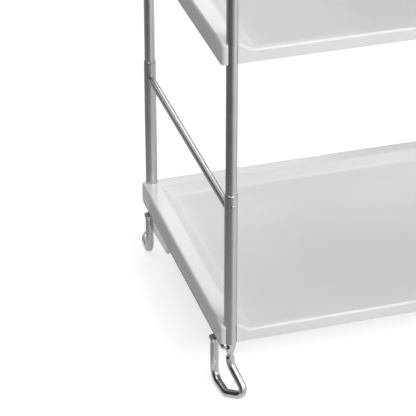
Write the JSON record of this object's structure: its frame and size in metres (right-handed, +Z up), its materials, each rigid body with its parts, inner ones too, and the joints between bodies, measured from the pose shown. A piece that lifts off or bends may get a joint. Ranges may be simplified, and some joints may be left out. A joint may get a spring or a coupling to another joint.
{
  "type": "shelf rack",
  "caption": "Free-standing tiered shelf rack with white moulded trays carried on slim chromed tube posts that stand on bent-rod loop feet.",
  "frame": {"origin": "on the floor, at the centre of the footprint", "axes": "+Z up, +X to the right along the trays' length, -Y towards the open front of the trays"},
  "size_m": [0.6092, 0.3876, 0.825],
  "materials": {
    "tray_plastic": "satin white moulded plastic",
    "post_chrome": "bright chrome plate",
    "rod_chrome": "bright chrome plate",
    "foot_chrome": "bright chrome plate",
    "screw_steel": "zinc plated",
    "cap_plastic": "fine moulded"
  },
  "bodies": {
    "root": {"lower_tray": "tray_plastic", "lower_tray_screws": "screw_steel", "middle_tray": "tray_plastic", "middle_tray_screws": "screw_steel", "upper_tray": "tray_plastic", "upper_tray_screws": "screw_steel", "lower_post_front_left": "post_chrome", "upper_post_front_left": "post_chrome", "ferrule_front_left": "foot_chrome", "loop_foot_front_left": "foot_chrome", "post_cap_front_left": "cap_plastic", "lower_post_front_right": "post_chrome", "upper_post_front_right": "post_chrome", "ferrule_front_right": "foot_chrome", "loop_foot_front_right": "foot_chrome", "post_cap_front_right": "cap_plastic", "lower_post_rear_left": "post_chrome", "upper_post_rear_left": "post_chrome", "ferrule_rear_left": "foot_chrome", "loop_foot_rear_left": "foot_chrome", "post_cap_rear_left": "cap_plastic", "lower_post_rear_right": "post_chrome", "upper_post_rear_right": "post_chrome", "ferrule_rear_right": "foot_chrome", "loop_foot_rear_right": "foot_chrome", "post_cap_rear_right": "cap_plastic", "lower_crossbar_left": "rod_chrome", "upper_crossbar_left": "rod_chrome", "bottom_rail_left": "rod_chrome", "rear_brace_left": "foot_chrome", "lower_crossbar_right": "rod_chrome", "upper_crossbar_right": "rod_chrome", "bottom_rail_right": "rod_chrome", "rear_brace_right": "foot_chrome", "snap_buttons": "screw_steel"}
  },
  "joints": []
}
